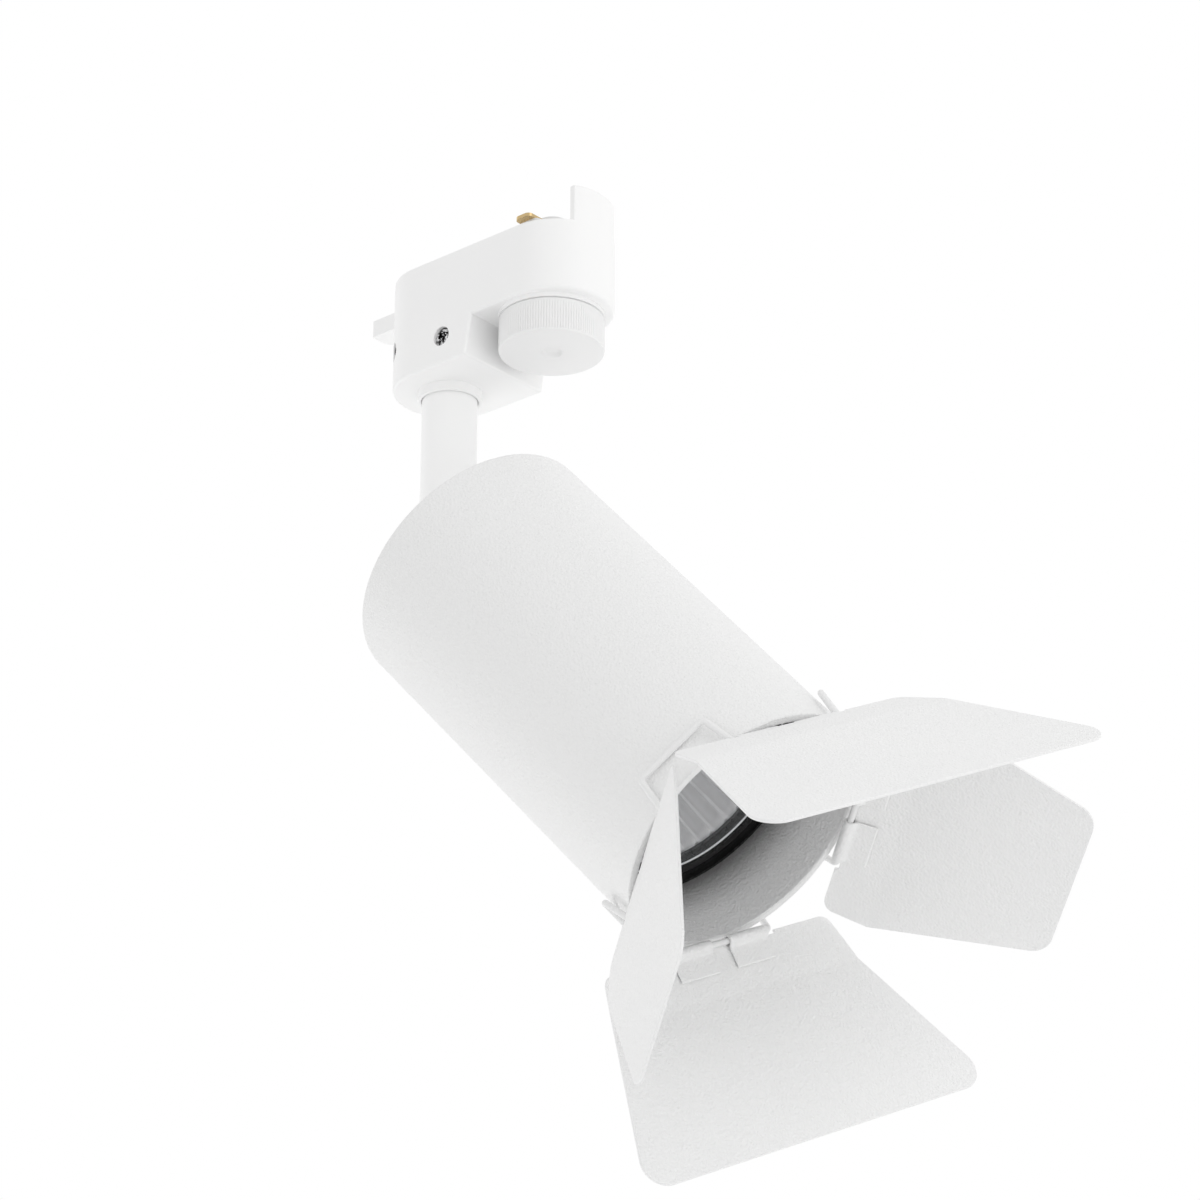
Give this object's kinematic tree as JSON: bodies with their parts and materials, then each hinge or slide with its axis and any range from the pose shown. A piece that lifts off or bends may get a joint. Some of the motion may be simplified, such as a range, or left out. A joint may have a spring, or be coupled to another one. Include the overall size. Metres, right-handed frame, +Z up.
{
  "type": "track spotlight",
  "caption": "Cylindrical track spotlight with a turning and tilting head, a plug-in track adapter with lock knob, and hinged barn doors round the lamp.",
  "frame": {"origin": "centre of the adapter's flat top face, which lies against the track", "axes": "+Z up into the track, +X along the track from the stem end to the lock end of the adapter"},
  "size_m": [0.1699, 0.1203, 0.2285],
  "materials": {
    "adapter_plastic": "white moulded polycarbonate, satin",
    "knob_plastic": "white moulded, fine knurl",
    "inner_plastic": "white glass-filled nylon",
    "white_coat": "fine leather-grain white powder coat",
    "stem_coat": "smooth satin white powder coat",
    "wire_coat": "white coated spring wire",
    "chrome_steel": "bright chromed screws",
    "zinc_steel": "zinc plated steel",
    "contact_brass": "bright brass",
    "holder_ceramic": "matt glazed steatite",
    "reflector_chrome": "fluted mirror reflector",
    "lamp_glass": "clear cover glass",
    "burner_glass": "clear capsule",
    "lamp_body": "white heat-proof base",
    "gasket_rubber": "black silicone",
    "ring_dark": "dark anodised ring",
    "cable_white": "silicone sleeve"
  },
  "bodies": {
    "adapter": {"adapter_housing": "adapter_plastic", "adapter_cover": "adapter_plastic", "track_guide": "adapter_plastic", "earth_contact": "contact_brass", "end_latch": "adapter_plastic", "side_screws": "chrome_steel", "stem_collar": "adapter_plastic", "terminal_block": "inner_plastic", "terminal_screws": "contact_brass", "adapter_wires": "cable_white"},
    "lock": {"lock_knob": "knob_plastic", "lock_shaft": "inner_plastic", "lock_clip": "zinc_steel", "lock_cam": "inner_plastic", "line_contacts": "contact_brass"},
    "stem": {"stem_tube": "stem_coat", "stem_nut": "zinc_steel", "stem_washer": "zinc_steel", "stem_knuckle": "stem_coat", "stem_wires": "cable_white"},
    "head": {"head_tube": "white_coat", "rear_cap": "white_coat", "pivot_bracket": "white_coat", "bracket_screws": "chrome_steel", "pivot_screw": "chrome_steel", "pivot_nut": "chrome_steel", "pivot_washers": "zinc_steel", "cable_grommet": "gasket_rubber", "head_wires": "cable_white", "holder_bracket": "zinc_steel", "holder_screws": "zinc_steel", "lampholder": "holder_ceramic", "lamp_pins": "zinc_steel", "lamp_base": "lamp_body", "lamp_reflector": "reflector_chrome", "lamp_burner": "burner_glass", "lamp_glass": "lamp_glass", "lamp_gasket": "gasket_rubber", "retaining_ring": "ring_dark"},
    "frame": {"door_frame": "wire_coat"},
    "top_door": {"leaf_top": "white_coat"},
    "right_door": {"leaf_right": "white_coat"},
    "bottom_door": {"leaf_bottom": "white_coat"},
    "left_door": {"leaf_left": "white_coat"}
  },
  "joints": [
    {"name": "lock_turn", "type": "hinge", "parent": "adapter", "child": "lock", "pos_m": [0.0147, 0, -0.02], "axis": [0, 0, 1], "range_deg": [0, 90]},
    {"name": "pan", "type": "hinge", "parent": "adapter", "child": "stem", "pos_m": [-0.016, 0, -0.03], "axis": [0, 0, 1], "range_deg": [-175, 175]},
    {"name": "tilt", "type": "hinge", "parent": "stem", "child": "head", "pos_m": [-0.016, 0, -0.0628], "axis": [0.1908, -0.9816, 0], "range_deg": [-42.1, 47.9]},
    {"name": "frame_turn", "type": "hinge", "parent": "head", "child": "frame", "pos_m": [0.05718, 0.01422, -0.14531], "axis": [0.6581, 0.1279, -0.742], "continuous": true},
    {"name": "top_hinge", "type": "hinge", "parent": "frame", "child": "top_door", "pos_m": [0.07811, 0.00165, -0.13147], "axis": [0.2701, 0.8798, 0.3912], "range_deg": [-64.1, 58.9]},
    {"name": "right_hinge", "type": "hinge", "parent": "frame", "child": "right_door", "pos_m": [0.06599, 0.0391, -0.13576], "axis": [0.7028, -0.4578, 0.5444], "range_deg": [-71.5, 51.5]},
    {"name": "bottom_hinge", "type": "hinge", "parent": "frame", "child": "bottom_door", "pos_m": [0.03875, 0.02729, -0.16196], "axis": [-0.2701, -0.8798, -0.3912], "range_deg": [-67, 56]},
    {"name": "left_hinge", "type": "hinge", "parent": "frame", "child": "left_door", "pos_m": [0.05087, -0.01017, -0.15767], "axis": [-0.7028, 0.4578, -0.5444], "range_deg": [-65.5, 57.5]}
  ]
}
